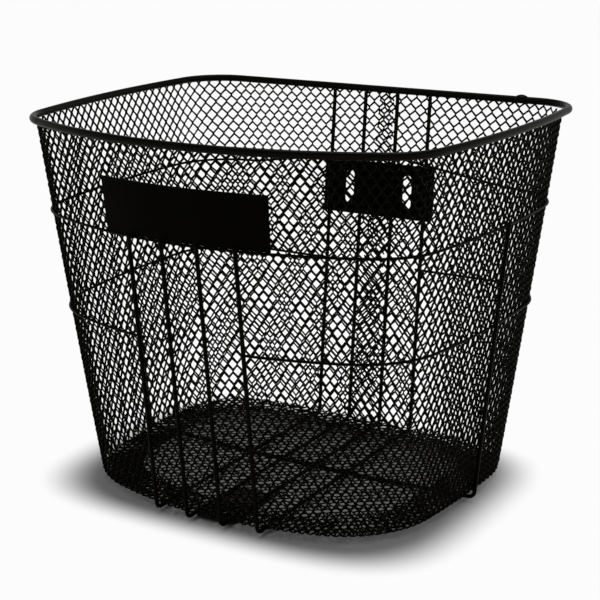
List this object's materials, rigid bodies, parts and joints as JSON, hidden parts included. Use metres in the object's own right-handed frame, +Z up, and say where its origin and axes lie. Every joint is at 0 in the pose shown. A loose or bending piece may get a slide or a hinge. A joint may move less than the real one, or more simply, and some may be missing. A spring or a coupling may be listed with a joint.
{
  "type": "bicycle front basket",
  "caption": "Black painted expanded-metal basket on a welded wire frame, with a slotted bracket plate on the back, a bolt plate under the base and a plain plate on the front.",
  "frame": {"origin": "on the ground, at the middle of the basket's bounding box seen from above", "axes": "+X across the basket to its left as a rider sees it from behind the bracket, the bowed front faces -Y, the bracket plate faces +Y, +Z up"},
  "size_m": [0.3554, 0.2968, 0.2849],
  "materials": {
    "rod_paint": "gloss black paint over steel rod",
    "mesh_paint": "satin black paint over expanded steel sheet",
    "plate_paint": "satin black paint over steel sheet"
  },
  "bodies": {
    "root": {"rim": "rod_paint", "rim_joint": "rod_paint", "wall_mesh": "mesh_paint", "base_flange": "mesh_paint", "base_mesh": "mesh_paint", "upper_hoop": "rod_paint", "lower_hoop_left": "rod_paint", "lower_hoop_right": "rod_paint", "stay_1": "rod_paint", "stay_2": "rod_paint", "stay_3": "rod_paint", "stay_4": "rod_paint", "cross_stay": "rod_paint", "name_plate": "plate_paint", "bracket_plate": "plate_paint", "base_plate": "plate_paint"}
  },
  "joints": []
}
